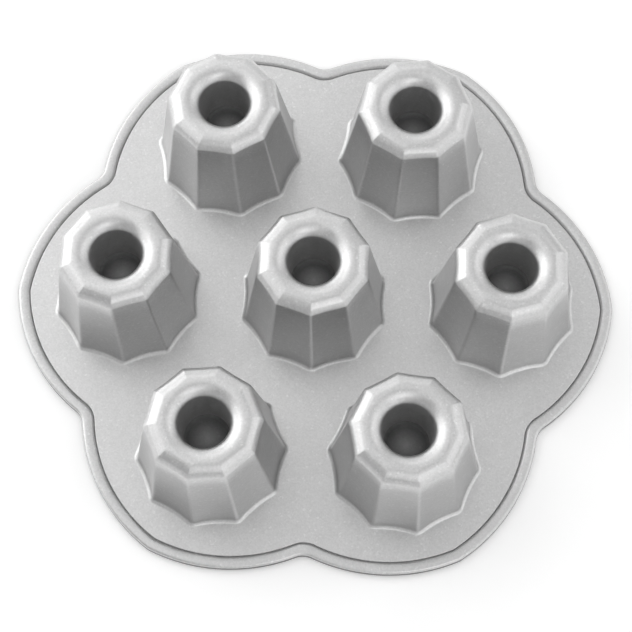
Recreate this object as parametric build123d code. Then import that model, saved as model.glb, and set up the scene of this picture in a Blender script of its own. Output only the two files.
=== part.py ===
from build123d import *
import os
from math import atan2, cos, hypot, pi, radians, sin, sqrt, tan

# A seven-cup baking pan, cast in one piece from aluminium. It lies face down, as it is photographed and
# stored: the flat baking side rests at z = 0, and the cups stand up from the deck with their crowns on top.
# Millimetres, +Z up. The origin is under the middle of the centre cup, and the right-hand cup is on +X.
# The sections of the casting meet face to face: a flat deck in seven sections, one round each cup, a rim
# round its edge, seven fluted cups with flat crowns, and in each crown a round well, whose outside is the
# core post in the middle of the cup.

# Plan of the pan
cup_pitch = 92.0               # middle of the centre cup to the middle of each outer cup
ring_places = ["right", "back_right", "back_left", "left", "front_left", "front_right"]

# Deck and rim
deck_thickness = 3.2
deck_margin = 19.1             # ridges of an outer cup to the pan's edge, at the tip of a lobe
lobe_radius = 85.8             # each of the two arcs of a lobe, at the pan's edge
lobe_tip_angle = 5.0           # how far each arc leans back where the two meet at the tip, degrees
lobe_tip_radius = 12.4         # rounding of that tip, at the pan's edge
notch_radius = 10.1            # rounding between two lobes, at the pan's edge
rim_width = 5.8                # pan's edge to the line where the rim rises from the deck
rim_rise = 1.0                 # rim above the deck
rim_slope_width = 1.0          # sloping inner side of the rim, in plan
rim_notch_growth = 2.0         # how much larger the rounding between two lobes is on the rim's inner line
rim_top_radius = 1.5           # outer upper edge
rim_under_radius = 0.8         # outer lower edge

# Cups
flute_count = 10
cup_height = 56.7              # deck to crown
foot_radius = 35.9             # over the ridges, where a cup meets the deck
shoulder_radius = 27.5         # over the ridges, at the lower edge of the crown's bevel
foot_flute_depth = 1.2         # hollow of a flute below the line between its two ridges, at the deck
shoulder_flute_depth = 0.25    # the same at the shoulder, where a flute has nearly run out
upper_bevel_drop = 1.6         # the crown's edge falls to the shoulder in two bevels, the upper one flatter
upper_bevel_width = 3.3        # in plan
lower_bevel_drop = 2.2
lower_bevel_width = 2.1
root_radius = 2.0              # rounding of the cup into the deck
mouth_radius = 1.5             # rounding of the cup's open edge on the baking side
cup_floor_radius = 2.0         # rounding inside the cup, between its side and its floor
wall = 3.0                     # cup side, crown and core post

# Wells and core posts
well_mouth_radius = 12.4       # wall of the well, carried on up to the crown
well_floor_radius = 10.6       # wall of the well, carried on down to its floor
well_depth = 30.0
well_lip_reach = 6.4           # rounding of the crown into the well, in plan
well_lip_drop = 4.7            # the same rounding down the well, a quarter of an ellipse
well_corner_radius = 2.5       # rounding of the well's wall into its floor
post_tip_radius = 3.0          # rounding of the core post's end
post_root_radius = 1.8         # rounding of the core post into the cup's floor
seat_land = 0.5                # flat of the crown that belongs to the well, outside its lip

# Heights and slopes that follow
crown_z = deck_thickness + cup_height
bevel_z = crown_z - upper_bevel_drop
shoulder_z = bevel_z - lower_bevel_drop
cup_floor_z = crown_z - wall
well_floor_z = crown_z - well_depth
half_flute = pi / flute_count
side_slope = (foot_radius - shoulder_radius) / (shoulder_z - deck_thickness)
flute_fade = (foot_flute_depth - shoulder_flute_depth) / (shoulder_z - deck_thickness)
well_slope = (well_mouth_radius - well_floor_radius) / well_depth
lip_radius = well_mouth_radius - well_slope * well_lip_drop + well_lip_reach
seat_radius = max(lip_radius, well_mouth_radius + wall + post_root_radius) + seat_land
lobe_reach = cup_pitch + foot_radius + deck_margin


def ridge_radius(z):
    # distance from the cup's axis to its ridges, on the outside
    return foot_radius - side_slope * (z - deck_thickness)


def flute_depth(z):
    return foot_flute_depth - flute_fade * (z - deck_thickness)


def inner_ridge_radius(z):
    # the same distance inside the cup, one wall further in, measured square to the flutes
    return ridge_radius(z) - wall / cos(half_flute)


def fluted_face(ridges, depth, z):
    # a flute_count-sided outline whose sides are hollow arcs, or straight where the depth is nothing
    middle = ridges * cos(half_flute) - depth
    edges = []
    for k in range(flute_count):
        before = (2 * k - 1) * half_flute
        after = (2 * k + 1) * half_flute
        between = 2 * k * half_flute
        start = (ridges * cos(before), ridges * sin(before), z)
        end = (ridges * cos(after), ridges * sin(after), z)
        if depth > 0:
            edges.append(ThreePointArc(start, (middle * cos(between), middle * sin(between), z), end))
        else:
            edges.append(Line(start, end))
    return Face(Wire(edges))


def collar_face(z):
    # where a cup passes through the deck, out to the foot of its rounding
    return fluted_face(foot_radius + root_radius, foot_flute_depth, z)


def cup_outside():
    rounding_top = deck_thickness + root_radius
    bevel_ridges = shoulder_radius - lower_bevel_width / cos(half_flute)
    sections = [
        collar_face(0),
        collar_face(deck_thickness),
        fluted_face(ridge_radius(rounding_top), flute_depth(rounding_top), rounding_top),
        fluted_face(shoulder_radius, shoulder_flute_depth, shoulder_z),
        fluted_face(bevel_ridges, 0, bevel_z),
        fluted_face(bevel_ridges - upper_bevel_width / cos(half_flute), 0, crown_z),
    ]
    return loft(sections, ruled=True)


def cup_inside():
    corner_z = cup_floor_z - cup_floor_radius
    floor_ridges = inner_ridge_radius(corner_z) - cup_floor_radius / cos(half_flute)
    sections = [
        fluted_face(inner_ridge_radius(0) + mouth_radius, foot_flute_depth, 0),
        fluted_face(inner_ridge_radius(mouth_radius), foot_flute_depth, mouth_radius),
        fluted_face(inner_ridge_radius(corner_z), flute_depth(corner_z), corner_z),
        fluted_face(floor_ridges, flute_depth(corner_z), cup_floor_z),
    ]
    return loft(sections, ruled=True)


def cup_shell():
    # fluted side and crown of one cup, open underneath, with a round seat for the well
    seat = Pos(0, 0, cup_floor_z) * Cylinder(seat_radius, wall, align=(Align.CENTER, Align.CENTER, Align.MIN))
    return cup_outside() - cup_inside() - seat


def rounded_at(outline, corner, radius):
    nearest = outline.vertices().sort_by_distance(corner)[0]
    return fillet(nearest, radius)


def core_well():
    # the well and the hollow core post round it, turned about the cup's axis
    post_tip = (well_floor_radius + wall - well_slope * wall, 0, well_floor_z - wall)
    post_root = (well_mouth_radius + wall - well_slope * wall, 0, cup_floor_z)
    floor_corner = (well_floor_radius, 0, well_floor_z)
    lip_centre = (lip_radius, crown_z - well_lip_drop)
    lip = Plane.XZ * EllipticalCenterArc(lip_centre, well_lip_reach, well_lip_drop, 90, arc_size=90)
    inside = Polyline(lip @ 1, floor_corner, (0, 0, well_floor_z))
    outside = Polyline(
        (0, 0, well_floor_z),
        (0, 0, well_floor_z - wall),
        post_tip,
        post_root,
        (seat_radius, 0, cup_floor_z),
        (seat_radius, 0, crown_z),
        lip @ 0,
    )
    section = Sketch() + Face(Wire(lip.edges() + inside.edges() + outside.edges()))
    section = rounded_at(section, post_tip, post_tip_radius)
    section = rounded_at(section, post_root, post_root_radius)
    section = rounded_at(section, floor_corner, well_corner_radius)
    return revolve(section, Axis.Z)


def lobed_face(inset, rounding, z=0):
    # the pan's outline, drawn in from its edge by the inset: a lobe beyond each outer cup, of two arcs
    # that meet at its tip, and a rounded notch between each two lobes
    radius = lobe_radius - inset
    tilt = radians(lobe_tip_angle)
    middle_x = lobe_reach - lobe_radius * cos(tilt)
    middle_y = -lobe_radius * sin(tilt)
    half_sector = pi / len(ring_places)
    along = middle_x * cos(half_sector) + middle_y * sin(half_sector)
    notch_distance = along + sqrt(along ** 2 - hypot(middle_x, middle_y) ** 2 + radius ** 2)
    notch = (notch_distance * cos(half_sector), notch_distance * sin(half_sector))
    tip_x = middle_x + sqrt(radius ** 2 - middle_y ** 2)
    start_angle = atan2(-middle_y, tip_x - middle_x)
    end_angle = atan2(notch[1] - middle_y, notch[0] - middle_x)
    half_way = (start_angle + end_angle) / 2
    bulge = (middle_x + radius * cos(half_way), middle_y + radius * sin(half_way))
    edges = []
    for k in range(len(ring_places)):
        turn = Rot(0, 0, 360 / len(ring_places) * k)
        edges.append(turn * ThreePointArc((tip_x, 0), bulge, notch))
        edges.append(turn * ThreePointArc((notch[0], -notch[1]), (bulge[0], -bulge[1]), (tip_x, 0)))
    outline = Sketch() + Face(Wire(edges))
    tips = outline.vertices().filter_by(lambda v: hypot(v.X, v.Y) > (notch_distance + tip_x) / 2)
    outline = fillet(tips, lobe_tip_radius - inset)
    notches = outline.vertices().filter_by(lambda v: hypot(v.X, v.Y) < (notch_distance + tip_x) / 2)
    return Pos(0, 0, z) * fillet(notches, rounding)


def rim():
    height = deck_thickness + rim_rise
    inner_rounding = notch_radius + rim_notch_growth
    band = extrude(lobed_face(0, notch_radius), height)
    band = fillet(band.faces().sort_by(Axis.Z)[-1].edges(), rim_top_radius)
    band = fillet(band.faces().sort_by(Axis.Z)[0].edges(), rim_under_radius)
    opening = extrude(lobed_face(rim_width, inner_rounding), deck_thickness)
    foot_of_slope = lobed_face(rim_width, inner_rounding, deck_thickness)
    top_of_slope = lobed_face(rim_width - rim_slope_width, inner_rounding - rim_slope_width, height)
    slope = loft([foot_of_slope.face(), top_of_slope.face()], ruled=True)
    return band - opening - slope


def deck_plate():
    return extrude(lobed_face(rim_width, notch_radius + rim_notch_growth), deck_thickness)


def deck_middle():
    # the hexagon half-way to all six outer cups, with its flats towards them
    corner_distance = cup_pitch / 2 / cos(pi / len(ring_places))
    hexagon = RegularPolygon(corner_distance, len(ring_places), rotation=180 / len(ring_places))
    return extrude(hexagon, deck_thickness)


def deck_lobe():
    # one outer cup's share of the deck: the wedge round +X, outside the hexagon
    half_sector = pi / len(ring_places)
    far = 2 * lobe_reach
    corners = [(0, 0), (far, -far * tan(half_sector)), (far, far * tan(half_sector))]
    wedge = extrude(Face(Wire(Polyline(*corners, close=True))), deck_thickness)
    return (deck_plate() & wedge) - deck_middle()


def write(name, shape):
    export_step(shape, f"parts/{name}.step")


os.makedirs("parts", exist_ok=True)

# where each cup stands, and how far its pattern of flutes is turned
stations = {"centre": Location((0, 0, 0))}
for number, place in enumerate(ring_places):
    stations[place] = Rot(0, 0, 360 / len(ring_places) * number) * Pos(cup_pitch, 0, 0)

shell = cup_shell()
well = core_well()
collar = extrude(collar_face(0), deck_thickness)
middle_section = deck_middle() - collar
lobe_section = deck_lobe() - Pos(cup_pitch, 0, 0) * collar

write("rim", rim())
write("deck_centre", middle_section)
for number, place in enumerate(ring_places):
    write(f"deck_{place}", Rot(0, 0, 360 / len(ring_places) * number) * lobe_section)
for place, station in stations.items():
    write(f"cup_{place}", station * shell)
    write(f"core_well_{place}", station * well)
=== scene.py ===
# A cast baking pan with seven fluted cups, dressed in its finishes and set in a pale studio.
from math import atan2, ceil, cos, hypot, pi, radians, sin, sqrt, tan

import bmesh
import bpy
import numpy as np
from mathutils import Euler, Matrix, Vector


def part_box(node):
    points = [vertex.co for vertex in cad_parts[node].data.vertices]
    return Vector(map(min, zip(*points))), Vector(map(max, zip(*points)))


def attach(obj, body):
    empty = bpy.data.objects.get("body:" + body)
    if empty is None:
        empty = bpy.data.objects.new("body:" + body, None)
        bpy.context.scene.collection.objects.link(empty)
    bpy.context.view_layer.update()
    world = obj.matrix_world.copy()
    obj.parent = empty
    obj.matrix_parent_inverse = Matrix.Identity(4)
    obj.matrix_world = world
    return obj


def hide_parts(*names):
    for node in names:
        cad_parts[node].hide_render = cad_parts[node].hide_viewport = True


bl_info = {
    "name": "Fluted Cup Pan",
    "version": (1, 0, 0),
    "blender": (4, 5, 0),
    "location": "View3D > Sidebar > Cup Pan",
    "description": "Builds a cast baking pan with seven cups, and its finishes, lamps and camera",
    "category": "Object",
}

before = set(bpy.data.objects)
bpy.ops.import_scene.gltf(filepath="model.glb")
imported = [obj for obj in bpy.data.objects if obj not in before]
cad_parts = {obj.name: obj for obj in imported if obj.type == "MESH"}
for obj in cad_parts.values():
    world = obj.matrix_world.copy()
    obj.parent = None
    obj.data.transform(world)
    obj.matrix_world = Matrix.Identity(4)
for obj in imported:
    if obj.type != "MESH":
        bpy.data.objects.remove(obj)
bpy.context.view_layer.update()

BODY = "root"
MM = 0.001
DECK_NODES = [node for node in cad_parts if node.startswith("deck")]
CUP_NODE = "cup_"
WELL_NODE = "core_well_"
CENTRE = "centre"
RING = ["right", "back_right", "back_left", "left", "front_left", "front_right"]

# Attributes that tell the finishes which part of a mesh they are on: the baking side, and where
# painted shade goes (steep sides, the rim's outer side) and where painted highlights go (ridges,
# the middle of a well's floor)
BAKING_SIDE = "baking_side"
SIDE_SHADE = "side"
RIDGE_HIGHLIGHT_AND_GLOSS = "ridge_highlight_and_gloss"
RIM_SIDE_SHADE = "edge"
FLOOR_MIDDLE_HIGHLIGHT = "middle"

# Sizes that the packed model gives
deck_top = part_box(DECK_NODES[0])[1].z
rim_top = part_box("rim")[1].z
crown_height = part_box(CUP_NODE + CENTRE)[1].z
seat_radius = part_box(WELL_NODE + CENTRE)[1].x
pitch = sum(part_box(WELL_NODE + RING[0]), Vector()).x / 2

# How finely round shapes are divided: half a flute's hollow and its ridge, an arc of a profile, and
# half a lobe's tip, side and notch
HOLLOW_STEPS = 9
RIDGE_STEPS = 4
ARC_STEPS = 7
TIP_STEPS = 3
LOBE_STEPS = 22
NOTCH_STEPS = 9
LONGEST_RUN = 9 * MM
SHARP_ANGLE = radians(32)
SAME_PLACE = 0.5e-6

# Where the painted shade on the rim's outer side starts, as shares of its upper rounding: down and
# inwards
RIM_SHADE_DROP = 0.75
RIM_SHADE_REACH = 0.5

# Silver finish: the size of each pattern, how far it changes tone and gloss, and how deep it is
GRAIN_TONES = (0.955, 1.04)
SPARKLE_TONE = 1.1
SPARKLE_START = 0.965
LUMP_TONE = 0.04
LUMP_GLOSS = 0.1
LUMP_STRENGTH = 0.15
LUMP_DEPTH = 0.03 * MM
CLOUD_SIZE = 9 * MM
CLOUD_TONE = 0.015
WAVE_SIZE = 14 * MM
WAVE_STRENGTH = 0.12
WAVE_DEPTH = 0.15 * MM
RUBBED_GLOSS = 0.06

# Heights above a well's floor at which its painted shade and light and its gloss change
FLOOR_SHADE_END = 0.35 * MM
CORNER_SHADE_HEIGHT = 0.9 * MM
WALL_LIGHT_START = 3.2 * MM
FLOOR_GLOSS_END = 1.5 * MM
WALL_GLOSS_START = 4.5 * MM

# Depths below the crown at which they change again
WALL_LIGHT_END = 3 * MM
WALL_GLOSS_END = 8 * MM
LIP_GLOSS_START = 2 * MM

# Non-stick coat
SPECKLE_SIZE = 0.5 * MM
SPECKLE_TONES = (0.88, 1.14)
SPECKLE_STRENGTH = 0.15
SPECKLE_DEPTH = 0.02 * MM
COAT_CLOUD_SIZE = 12 * MM
COAT_CLOUD_TONE = 0.06
COAT_CLOUD_GLOSS = 0.04
COAT_CLOUD_STRENGTH = 0.1
COAT_CLOUD_DEPTH = 0.1 * MM

# Studio: its paper, the cove that the paper curves up into, and the camera, whose sensor is in
# millimetres
FIBRE_SIZE = 1.2 * MM
FIBRE_TONE = 0.005
PAPER_ROUGHNESS = 0.9
FLOOR_GAP = 0.1 * MM
COVE_RADIUS = 3.4
COVE_BEND = 1.6
COVE_HEIGHT = 2.4
COVE_STEPS = 96
CAMERA_PLACE = (0.0193, -0.2854, 0.7834)
CAMERA_TURN = (radians(19.58), radians(0.53), radians(2.25))
SENSOR = 36.0


def length(name, description, default):
    """A length in metres that the sidebar shows."""
    return bpy.props.FloatProperty(
        name=name, description=description, default=default, unit="LENGTH", precision=4
    )


def amount(name, description, default):
    """A plain number that the sidebar shows."""
    return bpy.props.FloatProperty(name=name, description=description, default=default, precision=3)


def colour(name, description, default):
    """A colour that the sidebar shows."""
    return bpy.props.FloatVectorProperty(
        name=name, description=description, default=default, size=3, subtype="COLOR", min=0, max=1
    )


class PanPlan(bpy.types.PropertyGroup):
    """Deck and rim of the pan."""

    cup_pitch: length("Cup pitch", "Middle of the centre cup to that of an outer cup", pitch)
    deck_margin: length("Deck margin", "An outer cup's ridges to the tip of its lobe", 19.1 * MM)
    lobe_radius: length("Lobe radius", "Each of a lobe's two arcs, at the pan's edge", 85.8 * MM)
    lobe_tip_angle: bpy.props.FloatProperty(
        name="Lobe tip angle",
        description="How far each arc of a lobe leans back where the two meet at its tip",
        default=radians(5),
        subtype="ANGLE",
    )
    lobe_tip_radius: length("Lobe tip radius", "Rounding of that tip, at the pan's edge", 12.4 * MM)
    notch_radius: length("Notch radius", "Rounding between two lobes, at the pan's edge", 10.1 * MM)
    notch_growth: length("Notch growth", "How much it grows up to the rim's inner line", 2.0 * MM)
    rim_width: length("Rim width", "Pan's edge to where the rim rises from the deck", 5.8 * MM)
    rim_slope: length("Rim slope", "Sloping inner side of the rim, in plan", 1.0 * MM)
    rim_top_radius: length("Rim top radius", "Rounding of the rim's outer upper edge", 1.5 * MM)
    rim_under_radius: length("Rim under radius", "Rounding of the rim's outer lower edge", 0.8 * MM)
    rim_inner_radius: length("Rim inner radius", "Rounding at the top of its inner slope", 0.5 * MM)
    groove_width: length("Groove width", "Fine groove between deck and rim", 0.7 * MM)
    groove_depth: length("Groove depth", "Depth of that groove below the deck", 0.6 * MM)
    groove_edge_radius: length("Groove edge radius", "Rounding of the deck into it", 0.15 * MM)
    groove_floor_radius: length("Groove floor radius", "Rounding at its bottom", 0.12 * MM)
    seam_margin: length("Seam margin", "Flat strip from the groove to the deck piece", 0.4 * MM)


class CupSizes(bpy.types.PropertyGroup):
    """One fluted cup."""

    flutes: bpy.props.IntProperty(name="Flutes", description="Flutes of one cup", default=10, min=3)
    foot_radius: length("Foot radius", "Over the ridges, where a cup meets the deck", 35.9 * MM)
    shoulder_radius: length("Shoulder radius", "Over the ridges, under the bevels", 27.5 * MM)
    foot_hollow: length("Foot hollow", "Depth of a flute at the deck", 1.2 * MM)
    shoulder_hollow: length("Shoulder hollow", "Depth of a flute at the shoulder", 0.25 * MM)
    upper_bevel_drop: length("Upper bevel drop", "Height of the crown's flatter bevel", 1.6 * MM)
    upper_bevel_width: length("Upper bevel width", "The same bevel in plan", 3.3 * MM)
    lower_bevel_drop: length("Lower bevel drop", "Height of the steeper bevel", 2.2 * MM)
    lower_bevel_width: length("Lower bevel width", "The same bevel in plan", 2.1 * MM)
    crown_radius: length("Crown radius", "Rounding of the crown into its upper bevel", 2.8 * MM)
    bevel_radius: length("Bevel radius", "Rounding between the two bevels", 1.2 * MM)
    shoulder_rounding: length("Shoulder rounding", "Lower bevel's rounding into the side", 0.7 * MM)
    root_radius: length("Root radius", "Rounding of the side into the deck", 2.0 * MM)
    collar_width: length("Collar width", "Foot of the side to the deck piece", 2.1 * MM)
    foot_ridge_radius: length("Foot ridge radius", "Rounding of a ridge at the foot", 2.6 * MM)
    crown_ridge_radius: length("Crown ridge radius", "Rounding of a ridge at the crown", 0.9 * MM)
    wall: length("Wall", "Thickness of side, crown and core post", 3.0 * MM)
    mouth_radius: length("Mouth radius", "Rounding of the open edge on the baking side", 1.5 * MM)
    floor_radius: length("Floor radius", "Rounding inside the cup between side and floor", 2.0 * MM)


class WellSizes(bpy.types.PropertyGroup):
    """One well, whose outside is the core post in its cup."""

    mouth_radius: length("Mouth radius", "Wall of the well, carried up to the crown", 12.4 * MM)
    floor_radius: length("Floor radius", "Wall of the well, carried down to its floor", 10.6 * MM)
    depth: length("Depth", "Crown to the well's floor", 30.0 * MM)
    lip_reach: length("Lip reach", "How far the lip's rounding spreads over the crown", 6.4 * MM)
    lip_drop: length("Lip drop", "How far the lip's rounding reaches down the well", 4.7 * MM)
    corner_radius: length("Corner radius", "Rounding of the well's wall into its floor", 2.5 * MM)
    post_tip_radius: length("Post tip radius", "Rounding of the core post's end", 3.0 * MM)
    post_root_radius: length("Post root radius", "Rounding into the cup's floor", 1.8 * MM)


class FinishSettings(bpy.types.PropertyGroup):
    """Silver outside and coated baking side."""

    silver: colour("Silver", "Colour of the casting outside", (0.62, 0.62, 0.62))
    silver_roughness: amount("Silver roughness", "How soft its highlights are", 0.40)
    grain: length("Grain", "Size of the casting's sparkling grain", 0.85 * MM)
    # Painted shade on the cups' steep sides
    side: amount("Side", "Colour of the cups' steep sides, as a share of the silver", 0.87)
    # Painted shade on the rim's outer side
    edge: amount("Edge", "Colour of the rim's outer side, as a share of the silver", 0.2)
    # Painted highlight on the ridges
    ridge_highlight: amount("Ridge wear", "How much lighter ridges are, as a share of the silver", 0.1)
    # Painted light on a well's wall, and painted shade round its floor and on it
    well_wall_light: amount("Well wall", "Colour of a well's wall, as a share of the silver", 1.22)
    well_corner_shade: amount("Well corner", "Colour round its floor, as a share of the silver", 0.32)
    well_floor_shade: amount("Well floor", "Colour of its floor, as a share of the silver", 0.17)
    # Painted highlight in the middle of a well's floor
    well_middle_highlight: amount(
        "Well middle", "How much lighter the floor's middle is, as a share of the floor", 1.45
    )
    well_roughness: amount("Well roughness", "How soft the highlights are on a well's wall", 0.45)
    floor_roughness: amount("Floor roughness", "How soft the highlights are on a well's floor", 0.6)
    coat: colour("Coat", "Colour of the non-stick coat", (0.055, 0.055, 0.058))
    coat_roughness: amount("Coat roughness", "How soft the coat's highlights are", 0.38)


class StudioSettings(bpy.types.PropertyGroup):
    """Lamps, floor and camera."""

    paper: colour("Paper", "Colour of the floor and of the studio round it", (0.92, 0.92, 0.92))
    glow: amount("Glow", "White that the paper adds, to the camera and in the metal", 0.16)
    surround: amount("Surround", "Light that comes from all round", 0.35)
    lamp_distance: length("Lamp distance", "Pan to each lamp", 1.6)
    lens: bpy.props.FloatProperty(
        name="Lens", description="Focal length of the camera", default=95.75, unit="CAMERA"
    )


def rounded_path(corners, radii):
    """Points of a path whose inner corners are rounded, but stay sharp where the radius is 0. A
    corner is (outward, height) and any other values, which change evenly along the path. Long
    straight stretches are divided."""
    corners = [np.array(corner, float) for corner in corners]
    stretches = []
    for before, corner, after, radius in zip(corners, corners[1:], corners[2:], radii):
        if radius == 0:
            stretches.append([corner])
            continue
        inward = corner[:2] - before[:2]
        onward = after[:2] - corner[:2]
        long_in, long_on = np.linalg.norm(inward), np.linalg.norm(onward)
        turn = np.arccos(np.clip(inward @ onward / (long_in * long_on), -1, 1))
        reach = radius * tan(turn / 2)
        first = corner + (before - corner) * (reach / long_in)
        last = corner + (after - corner) * (reach / long_on)
        middle = (first + last)[:2] / 2
        centre = corner[:2] + (middle - corner[:2]) / cos(turn / 2) ** 2
        arc = []
        for share in np.linspace(0, 1, ARC_STEPS + 1):
            point = first + (last - first) * share
            near_first = sin(turn * (1 - share)) / sin(turn)
            near_last = sin(turn * share) / sin(turn)
            point[:2] = centre + (first[:2] - centre) * near_first + (last[:2] - centre) * near_last
            arc.append(point)
        stretches.append(arc)
    stretches = [[corners[0]], *stretches, [corners[-1]]]
    points = []
    for here, following in zip(stretches, stretches[1:]):
        points.extend(here)
        gap = following[0] - here[-1]
        parts = ceil(np.linalg.norm(gap[:2]) / LONGEST_RUN)
        points.extend(here[-1] + gap * part / parts for part in range(1, parts))
    return points + stretches[-1]


def mirrored(half, height):
    """Half an outline, which starts on the X axis, after its mirror image across that axis."""
    whole = [(x, -y) for x, y in reversed(half[1:])] + half
    return np.array([(x, y, height) for x, y in whole])


def flute_outline(cup, apothem, hollow, rounding, height):
    """One flute seen from above, from ridge to ridge, with its middle on +X. The apothem is how far
    out the straight line between its ridges lies, and the hollow is how deep the flute runs behind
    it."""
    half_angle = pi / cup.flutes
    half_width = apothem * tan(half_angle)
    lean = atan2(2 * hollow, half_width)
    turn = half_angle + lean
    end_of_hollow = half_width - rounding * tan(turn) * cos(lean)
    to_centre = apothem / cos(half_angle) - rounding / cos(turn)
    half = []
    for step in range(HOLLOW_STEPS):
        across = end_of_hollow * step / HOLLOW_STEPS
        half.append((apothem - hollow * (1 - (across / half_width) ** 2), across))
    for step in range(RIDGE_STEPS + 1):
        angle = half_angle - turn * (1 - step / RIDGE_STEPS)
        half.append(
            (
                to_centre * cos(half_angle) + rounding * cos(angle),
                to_centre * sin(half_angle) + rounding * sin(angle),
            )
        )
    return mirrored(half, height)


def round_outline(cup, radius, height):
    """A circle's share of one flute, with as many points as a flute's outline."""
    steps = HOLLOW_STEPS + RIDGE_STEPS
    angles = np.linspace(-pi / cup.flutes, pi / cup.flutes, 2 * steps + 1)
    heights = np.full_like(angles, height)
    return np.stack([radius * np.cos(angles), radius * np.sin(angles), heights], 1)


def segment_mesh(name, rows, inner_rows, marks=None, loop=True):
    """Rows joined by faces, and the last row to the first one where they are a loop. Faces that
    start at one of inner_rows are on the baking side. Marks give an attribute its values, as an
    array with a line for each row and a column for each point of a row."""
    count = len(rows[0])
    points = np.concatenate(rows)
    faces = []
    inner = []
    for row in range(len(rows) if loop else len(rows) - 1):
        following = (row + 1) % len(rows)
        for column in range(count - 1):
            here = row * count + column
            there = following * count + column
            faces.append((here, here + 1, there + 1, there))
            inner.append(row in inner_rows)
    mesh = bpy.data.meshes.new(name)
    mesh.from_pydata(points.tolist(), [], faces)
    mesh.attributes.new(BAKING_SIDE, "BOOLEAN", "FACE").data.foreach_set("value", inner)
    for attribute, values in (marks or {}).items():
        mesh.attributes.new(attribute, "FLOAT", "POINT").data.foreach_set("value", values.ravel())
    return mesh


def link(tree, source, target):
    """Joins a node's output to another node's input."""
    tree.links.new(source, target)


def repeat_tree():
    """Copies a segment round the Z axis, closes the seams between the copies, turns and places the
    result, and gives it its two finishes."""
    name = "Repeat round an axis"
    if name in bpy.data.node_groups:
        return bpy.data.node_groups[name]
    tree = bpy.data.node_groups.new(name, "GeometryNodeTree")
    sockets = [
        ("Segment", "NodeSocketGeometry"),
        ("Copies", "NodeSocketInt"),
        ("Seam Tolerance", "NodeSocketFloat"),
        ("Turn", "NodeSocketFloat"),
        ("Place", "NodeSocketVector"),
        ("Outside Finish", "NodeSocketMaterial"),
        ("Baking Side Finish", "NodeSocketMaterial"),
    ]
    for label, kind in sockets:
        tree.interface.new_socket(label, in_out="INPUT", socket_type=kind)
    tree.interface.new_socket("Mesh", in_out="OUTPUT", socket_type="NodeSocketGeometry")
    add = tree.nodes.new
    given = add("NodeGroupInput").outputs
    points = add("GeometryNodePoints")
    index = add("GeometryNodeInputIndex")
    step = add("ShaderNodeMath")
    step.operation = "DIVIDE"
    step.inputs[0].default_value = 2 * pi
    angle = add("ShaderNodeMath")
    angle.operation = "MULTIPLY"
    rotation = add("ShaderNodeCombineXYZ")
    instances = add("GeometryNodeInstanceOnPoints")
    realize = add("GeometryNodeRealizeInstances")
    merge = add("GeometryNodeMergeByDistance")
    turn = add("ShaderNodeCombineXYZ")
    place = add("GeometryNodeTransform")
    outside = add("GeometryNodeSetMaterial")
    inner = add("GeometryNodeInputNamedAttribute")
    inner.data_type = "BOOLEAN"
    inner.inputs["Name"].default_value = BAKING_SIDE
    baking = add("GeometryNodeSetMaterial")
    result = add("NodeGroupOutput")
    link(tree, given["Copies"], points.inputs["Count"])
    link(tree, given["Copies"], step.inputs[1])
    link(tree, index.outputs["Index"], angle.inputs[0])
    link(tree, step.outputs[0], angle.inputs[1])
    link(tree, angle.outputs[0], rotation.inputs["Z"])
    link(tree, points.outputs[0], instances.inputs["Points"])
    link(tree, given["Segment"], instances.inputs["Instance"])
    link(tree, rotation.outputs[0], instances.inputs["Rotation"])
    link(tree, instances.outputs[0], realize.inputs[0])
    link(tree, realize.outputs[0], merge.inputs["Geometry"])
    link(tree, given["Seam Tolerance"], merge.inputs["Distance"])
    link(tree, given["Turn"], turn.inputs["Z"])
    link(tree, merge.outputs[0], place.inputs["Geometry"])
    link(tree, turn.outputs[0], place.inputs["Rotation"])
    link(tree, given["Place"], place.inputs["Translation"])
    link(tree, place.outputs[0], outside.inputs["Geometry"])
    link(tree, given["Outside Finish"], outside.inputs["Material"])
    link(tree, outside.outputs[0], baking.inputs["Geometry"])
    link(tree, inner.outputs["Attribute"], baking.inputs["Selection"])
    link(tree, given["Baking Side Finish"], baking.inputs["Material"])
    link(tree, baking.outputs[0], result.inputs[0])
    return tree


def repeated(name, segment, copies, turn, place, outside):
    """The segment repeated round its axis, as a plain mesh object in its place."""
    tree = repeat_tree()
    pattern = bpy.data.objects.new(name + "_pattern", segment)
    bpy.context.scene.collection.objects.link(pattern)
    modifier = pattern.modifiers.new("Repeat", "NODES")
    modifier.node_group = tree
    values = {
        "Copies": copies,
        "Seam Tolerance": SAME_PLACE,
        "Turn": turn,
        "Place": place,
        "Outside Finish": outside,
        "Baking Side Finish": baking_coat(),
    }
    for item in tree.interface.items_tree:
        if item.name in values:
            modifier[item.identifier] = values[item.name]
    view = bpy.context.evaluated_depsgraph_get()
    view.update()
    mesh = bpy.data.meshes.new_from_object(pattern.evaluated_get(view), depsgraph=view)
    bpy.data.objects.remove(pattern)
    bpy.data.meshes.remove(segment)
    return finished(name, mesh)


def finished(name, mesh):
    """A piece's object, with its doubles merged, its faces outwards and its soft edges smooth."""
    mesh.name = name
    shape = bmesh.new()
    shape.from_mesh(mesh)
    bmesh.ops.remove_doubles(shape, verts=shape.verts, dist=SAME_PLACE)
    bmesh.ops.dissolve_degenerate(shape, edges=shape.edges, dist=SAME_PLACE)
    bmesh.ops.recalc_face_normals(shape, faces=shape.faces)
    open_edges = sum(not edge.is_manifold for edge in shape.edges)
    shape.to_mesh(mesh)
    shape.free()
    if open_edges:
        raise RuntimeError(f"{name} isn't closed: {open_edges} edges don't join two faces")
    mesh.shade_smooth()
    mesh.set_sharp_from_angle(angle=SHARP_ANGLE)
    piece = bpy.data.objects.new(name, mesh)
    bpy.context.scene.collection.objects.link(piece)
    return piece


def stand_for(piece, *nodes):
    """The piece takes the place of these nodes of the packed model."""
    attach(piece, BODY)
    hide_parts(*nodes)


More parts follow.
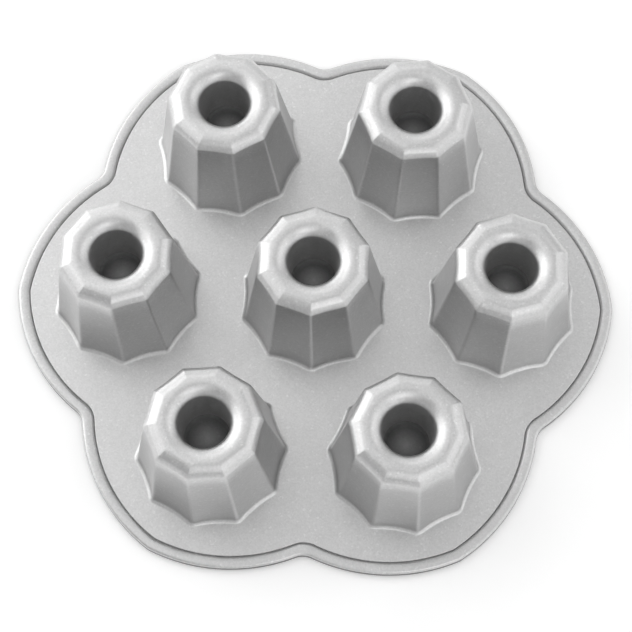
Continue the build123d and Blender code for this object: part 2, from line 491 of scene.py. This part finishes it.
def stations(plan):
    """Where each cup stands, and how far its flutes are turned."""
    places = {CENTRE: ((0, 0, 0), 0)}
    for number, place in enumerate(RING):
        turn = 2 * pi * number / len(RING)
        places[place] = ((plan.cup_pitch * cos(turn), plan.cup_pitch * sin(turn), 0), turn)
    return places


def collar_outline(cup, height):
    """Where a cup's piece ends on the deck, a little outside its root rounding."""
    apothem = cup.foot_radius * cos(pi / cup.flutes) + cup.collar_width
    rounding = cup.foot_ridge_radius + cup.collar_width
    return flute_outline(cup, apothem, cup.foot_hollow, rounding, height)


def cup_segment(cup):
    """One flute of a cup: its side, its share of the crown, and the cup's inside behind them."""
    # The straight line between two ridges lies at this share of the ridges' radius
    flat_share = cos(pi / cup.flutes)
    foot = cup.foot_radius * flat_share
    shoulder = cup.shoulder_radius * flat_share
    bevel_height = crown_height - cup.upper_bevel_drop
    shoulder_height = bevel_height - cup.lower_bevel_drop
    slope = (foot - shoulder) / (shoulder_height - deck_top)
    collar = foot + cup.collar_width
    ridge = cup.foot_ridge_radius
    thin_ridge = cup.crown_ridge_radius
    outside = rounded_path(
        [
            (collar, deck_top, cup.foot_hollow, ridge + cup.collar_width),
            (foot, deck_top, cup.foot_hollow, ridge),
            (shoulder, shoulder_height, cup.shoulder_hollow, ridge),
            (shoulder - cup.lower_bevel_width, bevel_height, 0, thin_ridge),
            (shoulder - cup.lower_bevel_width - cup.upper_bevel_width, crown_height, 0, thin_ridge),
            (seat_radius, crown_height, 0, thin_ridge),
        ],
        [cup.root_radius, cup.shoulder_rounding, cup.bevel_radius, cup.crown_radius],
    )[:-1]
    floor_height = crown_height - cup.wall
    inner_mouth = foot + slope * deck_top - cup.wall
    inner_floor = inner_mouth - slope * floor_height
    inside = rounded_path(
        [
            (seat_radius, floor_height, 0, ridge),
            (inner_floor, floor_height, cup.shoulder_hollow, ridge),
            (inner_mouth, 0, cup.foot_hollow, ridge),
            (collar, 0, cup.foot_hollow, ridge + cup.collar_width),
        ],
        [cup.floor_radius, cup.mouth_radius],
    )[1:]
    rows = [flute_outline(cup, out, hollow, rounding, z) for out, z, hollow, rounding in outside]
    rows.append(round_outline(cup, seat_radius, crown_height))
    rows.append(round_outline(cup, seat_radius, floor_height))
    inner_start = len(rows) - 1
    rows += [flute_outline(cup, out, hollow, rounding, z) for out, z, hollow, rounding in inside]
    side_start = deck_top + cup.root_radius / 2
    side_end = shoulder_height - cup.shoulder_rounding / 2
    # Rows of the cups' steep sides, which get painted shade
    steep = [side_start < row[0][2] < side_end for row in rows[:inner_start]]
    steep += [False] * (len(rows) - inner_start)
    column = np.arange(len(rows[0]))
    from_ridge = np.minimum(column, column[::-1])
    # Painted highlight and more gloss, strongest on the ridges
    ridge_highlight_share = np.clip(1 - from_ridge / RIDGE_STEPS, 0, 1)
    marks = {SIDE_SHADE: np.outer(steep, np.ones_like(ridge_highlight_share)), RIDGE_HIGHLIGHT_AND_GLOSS: np.outer(steep, ridge_highlight_share)}
    return segment_mesh("flute", rows, range(inner_start, len(rows) - 1), marks)


def well_segment(cup, well):
    """One flute's share of a well and of the core post round it."""
    slope = (well.mouth_radius - well.floor_radius) / well.depth
    floor_height = crown_height - well.depth
    lip = rounded_path(
        [
            (seat_radius, crown_height),
            (well.mouth_radius, crown_height),
            (well.floor_radius, floor_height),
            (0, floor_height),
        ],
        [well.lip_reach, well.corner_radius],
    )
    flattening = well.lip_drop / well.lip_reach
    for point in lip:
        below = crown_height - point[1]
        if below < well.lip_reach:
            point[1] = crown_height - below * flattening
    post = rounded_path(
        [
            (0, floor_height - cup.wall),
            (well.floor_radius + cup.wall - slope * cup.wall, floor_height - cup.wall),
            (well.mouth_radius + cup.wall - slope * cup.wall, crown_height - cup.wall),
            (seat_radius, crown_height - cup.wall),
        ],
        [well.post_tip_radius, well.post_root_radius],
    )
    rows = [round_outline(cup, radius, height) for radius, height in post + lip]
    # The floor's middle row, which gets a painted highlight
    middle = np.arange(len(rows)) == len(rows) - 1
    marks = {FLOOR_MIDDLE_HIGHLIGHT: np.outer(middle, np.ones(len(rows[0])))}
    return segment_mesh("well", rows, range(len(post) - 1), marks, loop=False)


def lobe_outline(plan, cup, inset, height):
    """One lobe of the pan's outline, drawn in from its edge by the inset, with its tip on +X. Each
    half has its part of the tip's rounding, its own long arc and its part of a notch."""
    radius = plan.lobe_radius - inset
    reach = plan.cup_pitch + cup.foot_radius + plan.deck_margin
    middle_x = reach - plan.lobe_radius * cos(plan.lobe_tip_angle)
    middle_y = -plan.lobe_radius * sin(plan.lobe_tip_angle)
    tip_radius = plan.lobe_tip_radius - inset
    notch_radius = plan.notch_radius + plan.notch_growth * inset / plan.rim_width
    half_sector = pi / len(RING)
    tip_x = middle_x + sqrt((radius - tip_radius) ** 2 - middle_y**2)
    along = middle_x * cos(half_sector) + middle_y * sin(half_sector)
    span = radius + notch_radius
    to_notch = along + sqrt(along**2 - hypot(middle_x, middle_y) ** 2 + span**2)
    notch_x, notch_y = to_notch * cos(half_sector), to_notch * sin(half_sector)
    tip_turn = atan2(-middle_y, tip_x - middle_x)
    notch_turn = atan2(notch_y - middle_y, notch_x - middle_x)
    half = []
    for angle in np.linspace(0, tip_turn, TIP_STEPS + 1)[:-1]:
        half.append((tip_x + tip_radius * cos(angle), tip_radius * sin(angle)))
    for angle in np.linspace(tip_turn, notch_turn, LOBE_STEPS + 1)[:-1]:
        half.append((middle_x + radius * cos(angle), middle_y + radius * sin(angle)))
    for angle in np.linspace(notch_turn + pi, half_sector + pi, NOTCH_STEPS + 1):
        half.append((notch_x + notch_radius * cos(angle), notch_y + notch_radius * sin(angle)))
    return mirrored(half, height)


def rim_inner_end(plan):
    """How far from the pan's edge the rim piece ends and the deck piece starts."""
    return plan.rim_width + plan.groove_width / 2 + plan.seam_margin


def rim_segment(plan, cup):
    """One lobe's share of the rim, with the fine groove along its inner line."""
    end = rim_inner_end(plan)
    half_groove = plan.groove_width / 2
    top_start = plan.rim_width - plan.rim_slope
    outline = rounded_path(
        [
            (end, deck_top),
            (plan.rim_width + half_groove, deck_top),
            (plan.rim_width, deck_top - plan.groove_depth),
            (top_start, rim_top),
            (0, rim_top),
            (0, 0),
            (end, 0),
        ],
        [
            plan.groove_edge_radius,
            plan.groove_floor_radius,
            plan.rim_inner_radius,
            plan.rim_top_radius,
            plan.rim_under_radius,
        ],
    )
    rows = [lobe_outline(plan, cup, inset, height) for inset, height in outline]
    heights = [height for inset, height in outline]
    under = [number for number, pair in enumerate(zip(heights, heights[1:])) if pair == (0, 0)]
    # Rows of the rim's outer side, which get painted shade
    shade_top = rim_top - plan.rim_top_radius * RIM_SHADE_DROP
    shade_reach = plan.rim_top_radius * RIM_SHADE_REACH
    outer = [inset < shade_reach and height < shade_top for inset, height in outline]
    return segment_mesh("lobe", rows, under, {RIM_SIDE_SHADE: np.outer(outer, np.ones(len(rows[0])))})


def turned(points, angle):
    """Points turned about the Z axis."""
    x, y, height = points.T
    return np.stack([x * cos(angle) - y * sin(angle), x * sin(angle) + y * cos(angle), height], 1)


def ring_of(outline, copies):
    """An outline repeated round the Z axis into a closed loop of points."""
    turns = 2 * pi * np.arange(copies) / copies
    return np.concatenate([turned(outline[:-1], turn) for turn in turns])


def deck_mesh(plan, cup):
    """The flat plate between the rim and the cups, with one fluted opening for each cup."""
    edge = ring_of(lobe_outline(plan, cup, rim_inner_end(plan), deck_top), len(RING))
    collar = ring_of(collar_outline(cup, deck_top), cup.flutes)
    loops = [edge] + [turned(collar, turn) + place for place, turn in stations(plan).values()]
    shape = bmesh.new()
    for height in (deck_top, 0):
        edges = []
        for loop in loops:
            corners = [shape.verts.new((x, y, height)) for x, y in loop[:, :2]]
            edges += [shape.edges.new(pair) for pair in zip(corners, corners[1:] + corners[:1])]
        bmesh.ops.triangle_fill(shape, edges=edges, use_beauty=True, normal=(0, 0, 1))
    top = [vert for vert in shape.verts if vert.co.z > 0]
    under = [vert for vert in shape.verts if vert.co.z == 0]
    start = 0
    for loop in loops:
        for number in range(len(loop)):
            here, there = start + number, start + (number + 1) % len(loop)
            shape.faces.new((top[here], top[there], under[there], under[here]))
        start += len(loop)
    mesh = bpy.data.meshes.new("deck")
    mesh.materials.append(silver_casting())
    mesh.materials.append(baking_coat())
    for face in shape.faces:
        face.material_index = int(all(vert.co.z == 0 for vert in face.verts))
    shape.to_mesh(mesh)
    shape.free()
    return mesh


def new_material(name):
    """A new node material, with its tree, its shader and its object coordinates."""
    material = bpy.data.materials.new(name)
    material.use_nodes = True
    tree = material.node_tree
    shader = tree.nodes["Principled BSDF"]
    place = tree.nodes.new("ShaderNodeTexCoord").outputs["Object"]
    return material, tree, shader, place


def noise(tree, place, size, detail=2.0, roughness=0.5):
    """Noise whose lumps are about as large as the size."""
    node = tree.nodes.new("ShaderNodeTexNoise")
    node.inputs["Scale"].default_value = 1 / size
    node.inputs["Detail"].default_value = detail
    node.inputs["Roughness"].default_value = roughness
    link(tree, place, node.inputs["Vector"])
    return node.outputs["Fac"]


def spread(tree, value, low, high, from_low=0.3, from_high=0.7):
    """The value stretched to run from low to high and no further. Most noise is 0.3 to 0.7."""
    node = tree.nodes.new("ShaderNodeMapRange")
    node.inputs["From Min"].default_value = from_low
    node.inputs["From Max"].default_value = from_high
    node.inputs["To Min"].default_value = low
    node.inputs["To Max"].default_value = high
    link(tree, value, node.inputs["Value"])
    return node.outputs["Result"]


def between(tree, share, low, high):
    """Runs from low to high as the share runs from 0 to 1."""
    return spread(tree, share, low, high, from_low=0, from_high=1)


def varied(tree, value, change):
    """Runs from 1 less the change to 1 more, as noise does from low to high."""
    return spread(tree, value, 1 - change, 1 + change)


def tinted(tree, tint, strength):
    """A colour made lighter or darker by a strength round 1."""
    node = tree.nodes.new("ShaderNodeVectorMath")
    node.operation = "SCALE"
    node.inputs[0].default_value = tint
    link(tree, strength, node.inputs["Scale"])
    return node.outputs[0]


def product(tree, first, second):
    """Two values multiplied."""
    node = tree.nodes.new("ShaderNodeMath")
    node.operation = "MULTIPLY"
    link(tree, first, node.inputs[0])
    link(tree, second, node.inputs[1])
    return node.outputs[0]


def larger(tree, first, second):
    """The larger of two values."""
    node = tree.nodes.new("ShaderNodeMath")
    node.operation = "MAXIMUM"
    link(tree, first, node.inputs[0])
    link(tree, second, node.inputs[1])
    return node.outputs[0]


def bumped(tree, shader, heights):
    """Each (height, strength, depth) roughens the surface on top of the one before it."""
    normal = None
    for height, strength, depth in heights:
        node = tree.nodes.new("ShaderNodeBump")
        node.inputs["Strength"].default_value = strength
        node.inputs["Distance"].default_value = depth
        link(tree, height, node.inputs["Height"])
        if normal:
            link(tree, normal, node.inputs["Normal"])
        normal = node.outputs["Normal"]
    link(tree, normal, shader.inputs["Normal"])


def flakes(tree, place, size):
    """Cells of about the size, each with its own even value between 0 and 1."""
    node = tree.nodes.new("ShaderNodeTexVoronoi")
    node.inputs["Scale"].default_value = 1 / size
    link(tree, place, node.inputs["Vector"])
    split = tree.nodes.new("ShaderNodeSeparateColor")
    link(tree, node.outputs["Color"], split.inputs[0])
    return split.outputs[0]


def graded(tree, value, stops):
    """Runs evenly from stop to stop, each of which gives an output for a value. The values rise."""
    lowest, highest = stops[0][0], stops[-1][0]
    node = tree.nodes.new("ShaderNodeValToRGB")
    points = node.color_ramp.elements
    while len(points) < len(stops):
        points.new(1)
    for point, (at, output) in zip(points, stops):
        point.position = (at - lowest) / (highest - lowest)
        point.color = (output, output, output, 1)
    link(tree, spread(tree, value, 0, 1, lowest, highest), node.inputs["Fac"])
    return node.outputs["Color"]


def marked(tree, attribute):
    """How far the surface is marked with one of its mesh's attributes, from 0 to 1."""
    node = tree.nodes.new("ShaderNodeAttribute")
    node.attribute_name = attribute
    return node.outputs["Fac"]


def height_of(tree, place):
    """Height above the face that the pan lies on."""
    node = tree.nodes.new("ShaderNodeSeparateXYZ")
    link(tree, place, node.inputs[0])
    return node.outputs["Z"]


def well_painted_light_and_gloss(tree, place, light):
    """The silver's gloss down a well, with painted light on its wall, painted shade round its floor
    and on it, and a painted highlight in the floor's middle.
    """
    finish = bpy.context.scene.pan_finish
    height = height_of(tree, place)
    bottom = crown_height - bpy.context.scene.pan_well.depth
    # Painted light on the wall and painted shade round the floor and on it, by height
    painted_shares = [
        (bottom, finish.well_floor_shade),
        (bottom + FLOOR_SHADE_END, finish.well_floor_shade),
        (bottom + CORNER_SHADE_HEIGHT, finish.well_corner_shade),
        (bottom + WALL_LIGHT_START, finish.well_wall_light),
        (crown_height - WALL_LIGHT_END, 1),
    ]
    light = product(tree, light, graded(tree, height, painted_shares))
    # Painted highlight in the floor's middle
    light = product(tree, light, between(tree, marked(tree, FLOOR_MIDDLE_HIGHLIGHT), 1, 1 + finish.well_middle_highlight))
    softnesses = [
        (bottom, finish.floor_roughness),
        (bottom + FLOOR_GLOSS_END, finish.floor_roughness),
        (bottom + WALL_GLOSS_START, finish.well_roughness),
        (crown_height - WALL_GLOSS_END, finish.well_roughness),
        (crown_height - LIP_GLOSS_START, finish.silver_roughness),
    ]
    return light, graded(tree, height, softnesses)


def outside_painted_light_and_gloss(tree, light):
    """The silver's gloss on deck, rim and cups, with painted shade on the cups' steep sides and the
    rim's outer side, and a painted highlight on the ridges, which are also glossier.
    """
    finish = bpy.context.scene.pan_finish
    ridge_highlight_and_gloss = marked(tree, RIDGE_HIGHLIGHT_AND_GLOSS)
    # Painted shade on the steep sides and on the rim's outer side, and a painted highlight on the
    # ridges
    light = product(tree, light, between(tree, marked(tree, SIDE_SHADE), 1, finish.side))
    light = product(tree, light, between(tree, marked(tree, RIM_SIDE_SHADE), 1, finish.edge))
    light = product(tree, light, between(tree, ridge_highlight_and_gloss, 1, 1 + finish.ridge_highlight))
    roughness = finish.silver_roughness
    return light, between(tree, ridge_highlight_and_gloss, roughness, roughness - RUBBED_GLOSS)


def silver_casting(in_well=False):
    """Satin silver lacquer: a fine grain with sparse sparkling flakes, soft cloudiness and the
    faint waviness of a casting."""
    name = "silver_well" if in_well else "silver_casting"
    if name in bpy.data.materials:
        return bpy.data.materials[name]
    finish = bpy.context.scene.pan_finish
    material, tree, shader, place = new_material(name)
    grain = flakes(tree, place, finish.grain)
    lumps = noise(tree, place, finish.grain, detail=1.0)
    clouds = noise(tree, place, CLOUD_SIZE, detail=3.0)
    waves = noise(tree, place, WAVE_SIZE, detail=1.0)
    light = product(tree, between(tree, grain, *GRAIN_TONES), varied(tree, clouds, CLOUD_TONE))
    light = product(tree, light, varied(tree, lumps, LUMP_TONE))
    sparkle = spread(tree, grain, 1, SPARKLE_TONE, from_low=SPARKLE_START, from_high=1)
    light = product(tree, light, sparkle)
    # Painted light and shade go on top of the grain: down the wells, or on the outside
    if in_well:
        light, softness = well_painted_light_and_gloss(tree, place, light)
    else:
        light, softness = outside_painted_light_and_gloss(tree, light)
    link(tree, tinted(tree, tuple(finish.silver), light), shader.inputs["Base Color"])
    link(tree, product(tree, softness, varied(tree, lumps, LUMP_GLOSS)), shader.inputs["Roughness"])
    shader.inputs["Metallic"].default_value = 1.0
    bumped(tree, shader, [(waves, WAVE_STRENGTH, WAVE_DEPTH), (lumps, LUMP_STRENGTH, LUMP_DEPTH)])
    return material


def baking_coat():
    """Dark non-stick coat with a low sheen and a faint speckle."""
    name = "baking_coat"
    if name in bpy.data.materials:
        return bpy.data.materials[name]
    finish = bpy.context.scene.pan_finish
    material, tree, shader, place = new_material(name)
    speckle = noise(tree, place, SPECKLE_SIZE, detail=2.0)
    clouds = noise(tree, place, COAT_CLOUD_SIZE, detail=3.0)
    tone = spread(tree, speckle, *SPECKLE_TONES)
    light = product(tree, tone, varied(tree, clouds, COAT_CLOUD_TONE))
    link(tree, tinted(tree, tuple(finish.coat), light), shader.inputs["Base Color"])
    glossiest = finish.coat_roughness - COAT_CLOUD_GLOSS
    dullest = finish.coat_roughness + COAT_CLOUD_GLOSS
    link(tree, spread(tree, clouds, glossiest, dullest), shader.inputs["Roughness"])
    cloud_bump = (clouds, COAT_CLOUD_STRENGTH, COAT_CLOUD_DEPTH)
    bumped(tree, shader, [cloud_bump, (speckle, SPECKLE_STRENGTH, SPECKLE_DEPTH)])
    return material


def paper():
    """White studio paper, which keeps the pan's shadow. It glows to the camera and in the metal."""
    studio = bpy.context.scene.pan_studio
    material, tree, shader, place = new_material("paper")
    fibres = noise(tree, place, FIBRE_SIZE, detail=2.0)
    tint = tinted(tree, tuple(studio.paper), varied(tree, fibres, FIBRE_TONE))
    link(tree, tint, shader.inputs["Base Color"])
    shader.inputs["Roughness"].default_value = PAPER_ROUGHNESS
    shader.inputs["Emission Color"].default_value = (1, 1, 1, 1)
    rays = tree.nodes.new("ShaderNodeLightPath").outputs
    seen = larger(tree, rays["Is Camera Ray"], rays["Is Glossy Ray"])
    seen = larger(tree, seen, rays["Is Transmission Ray"])
    link(tree, between(tree, seen, 0, studio.glow), shader.inputs["Emission Strength"])
    return material


class PAN_OT_cups(bpy.types.Operator):
    """Build the seven fluted cups"""

    bl_idname = "pan.cups"
    bl_label = "Build Cups"

    def execute(self, context):
        cup = context.scene.pan_cup
        for place, (position, turn) in stations(context.scene.pan_plan).items():
            node = CUP_NODE + place
            flute = cup_segment(cup)
            shell = repeated(node + "_shell", flute, cup.flutes, turn, position, silver_casting())
            stand_for(shell, node)
        return {"FINISHED"}


class PAN_OT_wells(bpy.types.Operator):
    """Build the well and core post of each cup"""

    bl_idname = "pan.wells"
    bl_label = "Build Wells"

    def execute(self, context):
        cup = context.scene.pan_cup
        well = context.scene.pan_well
        for place, (position, turn) in stations(context.scene.pan_plan).items():
            node = WELL_NODE + place
            share = well_segment(cup, well)
            finish = silver_casting(in_well=True)
            bowl = repeated(node + "_bowl", share, cup.flutes, turn, position, finish)
            stand_for(bowl, node)
        return {"FINISHED"}


class PAN_OT_rim(bpy.types.Operator):
    """Build the rim with its groove"""

    bl_idname = "pan.rim"
    bl_label = "Build Rim"

    def execute(self, context):
        lobe = rim_segment(context.scene.pan_plan, context.scene.pan_cup)
        band = repeated("rim_band", lobe, len(RING), 0, (0, 0, 0), silver_casting())
        stand_for(band, "rim")
        return {"FINISHED"}


class PAN_OT_deck(bpy.types.Operator):
    """Build the flat deck between the cups"""

    bl_idname = "pan.deck"
    bl_label = "Build Deck"

    def execute(self, context):
        mesh = deck_mesh(context.scene.pan_plan, context.scene.pan_cup)
        stand_for(finished("deck_plate", mesh), *DECK_NODES)
        return {"FINISHED"}


class PAN_OT_studio(bpy.types.Operator):
    """Set the floor, the lamps and the camera"""

    bl_idname = "pan.studio"
    bl_label = "Set Studio"

    def execute(self, context):
        build_floor()
        build_surround()
        build_lamps()
        build_camera()
        context.scene.view_settings.view_transform = "Standard"
        return {"FINISHED"}


def build_floor():
    """A round sheet of white paper that curves up into a wall. Its faces point up and inwards."""
    profile = rounded_path([(0, 0), (COVE_RADIUS, 0), (COVE_RADIUS, COVE_HEIGHT)], [COVE_BEND])
    shape = bmesh.new()
    points = [shape.verts.new((outward, 0, height)) for outward, height in profile]
    for pair in zip(points, points[1:]):
        shape.edges.new(pair)
    line = shape.verts[:] + shape.edges[:]
    bmesh.ops.spin(shape, geom=line, axis=(0, 0, 1), angle=2 * pi, steps=COVE_STEPS)
    bmesh.ops.remove_doubles(shape, verts=shape.verts, dist=SAME_PLACE)
    bmesh.ops.recalc_face_normals(shape, faces=shape.faces)
    bmesh.ops.reverse_faces(shape, faces=shape.faces)
    mesh = bpy.data.meshes.new("floor")
    shape.to_mesh(mesh)
    shape.free()
    mesh.shade_smooth()
    mesh.materials.append(paper())
    floor = bpy.data.objects.new("floor", mesh)
    floor.location.z = -FLOOR_GAP
    bpy.context.scene.collection.objects.link(floor)


def build_surround():
    """An even white light from all round."""
    studio = bpy.context.scene.pan_studio
    world = bpy.data.worlds.new("studio")
    world.use_nodes = True
    background = world.node_tree.nodes["Background"]
    background.inputs["Color"].default_value = (1, 1, 1, 1)
    background.inputs["Strength"].default_value = studio.surround
    bpy.context.scene.world = world


def softbox(name, azimuth, elevation, width, height, brightness):
    """A soft lamp that points at the pan. The azimuth turns from the pan's right towards its back,
    and a brightness of 1 is white."""
    data = bpy.data.lights.new(name, "AREA")
    data.shape = "RECTANGLE"
    data.size = width
    data.size_y = height
    data.energy = pi * width * height * brightness
    turn, rise = radians(azimuth), radians(elevation)
    direction = Vector((cos(rise) * cos(turn), cos(rise) * sin(turn), sin(rise)))
    box = bpy.data.objects.new(name, data)
    box.location = direction * bpy.context.scene.pan_studio.lamp_distance
    box.rotation_euler = (-direction).to_track_quat("-Z", "Y").to_euler()
    box.visible_camera = False
    bpy.context.scene.collection.objects.link(box)


def build_lamps():
    """Soft lamps all round, brightest at the left, and dimmer ones overhead."""
    softbox("left_low", azimuth=150, elevation=12, width=2.35, height=0.45, brightness=2.10)
    softbox("left_middle", azimuth=165, elevation=28, width=1.56, height=0.45, brightness=0.98)
    softbox("left_high", azimuth=150, elevation=46, width=0.78, height=0.45, brightness=2.38)
    softbox("left_wing", azimuth=180, elevation=46, width=0.78, height=0.45, brightness=1.25)
    softbox("back_high", azimuth=105, elevation=46, width=1.56, height=0.45, brightness=1.16)
    softbox("back", azimuth=95, elevation=20, width=1.56, height=0.9, brightness=0.46)
    softbox("right_low", azimuth=12, elevation=22, width=1.56, height=0.8, brightness=0.50)
    softbox("right_high", azimuth=15, elevation=46, width=1.56, height=0.45, brightness=1.38)
    softbox("front_right", azimuth=315, elevation=20, width=1.56, height=0.9, brightness=0.57)
    softbox("front_high", azimuth=297, elevation=50, width=0.78, height=0.5, brightness=1.88)
    softbox("front_wing", azimuth=268, elevation=50, width=0.70, height=0.5, brightness=0.43)
    softbox("overhead_front", azimuth=285, elevation=68, width=1.2, height=0.45, brightness=0.68)
    softbox("overhead_right", azimuth=15, elevation=66, width=1.2, height=0.45, brightness=0.50)
    softbox("overhead", azimuth=135, elevation=74, width=1.2, height=1.0, brightness=0.73)


def build_camera():
    """A long lens that looks down on the pan from the front."""
    data = bpy.data.cameras.new("camera")
    data.lens = bpy.context.scene.pan_studio.lens
    data.sensor_width = SENSOR
    camera = bpy.data.objects.new("camera", data)
    camera.location = CAMERA_PLACE
    camera.rotation_euler = Euler(CAMERA_TURN)
    bpy.context.scene.collection.objects.link(camera)
    bpy.context.scene.camera = camera


class PAN_PT_sidebar(bpy.types.Panel):
    """Sizes, finishes and build steps of the pan"""

    bl_label = "Fluted Cup Pan"
    bl_idname = "PAN_PT_sidebar"
    bl_space_type = "VIEW_3D"
    bl_region_type = "UI"
    bl_category = "Cup Pan"

    def draw(self, context):
        for pointer, group in GROUPS.items():
            box = self.layout.box()
            box.label(text=group.__doc__)
            for name in group.__annotations__:
                box.prop(getattr(context.scene, pointer), name)
        for operator in OPERATORS:
            self.layout.operator(operator.bl_idname)


GROUPS = {
    "pan_plan": PanPlan,
    "pan_cup": CupSizes,
    "pan_well": WellSizes,
    "pan_finish": FinishSettings,
    "pan_studio": StudioSettings,
}
OPERATORS = [PAN_OT_cups, PAN_OT_wells, PAN_OT_rim, PAN_OT_deck, PAN_OT_studio]


def register():
    """Adds the settings to the scene, and the build steps and the panel to Blender."""
    for group in GROUPS.values():
        bpy.utils.register_class(group)
    for pointer, group in GROUPS.items():
        setattr(bpy.types.Scene, pointer, bpy.props.PointerProperty(type=group))
    for operator in OPERATORS:
        bpy.utils.register_class(operator)
    bpy.utils.register_class(PAN_PT_sidebar)


def unregister():
    """Takes them away again, in the opposite order."""
    bpy.utils.unregister_class(PAN_PT_sidebar)
    for operator in reversed(OPERATORS):
        bpy.utils.unregister_class(operator)
    for pointer, group in reversed(GROUPS.items()):
        delattr(bpy.types.Scene, pointer)
        bpy.utils.unregister_class(group)


def main():
    """Builds the pan and its studio."""
    register()
    bpy.ops.pan.cups()
    bpy.ops.pan.wells()
    bpy.ops.pan.rim()
    bpy.ops.pan.deck()
    bpy.ops.pan.studio()


if __name__ == "__main__":
    main()
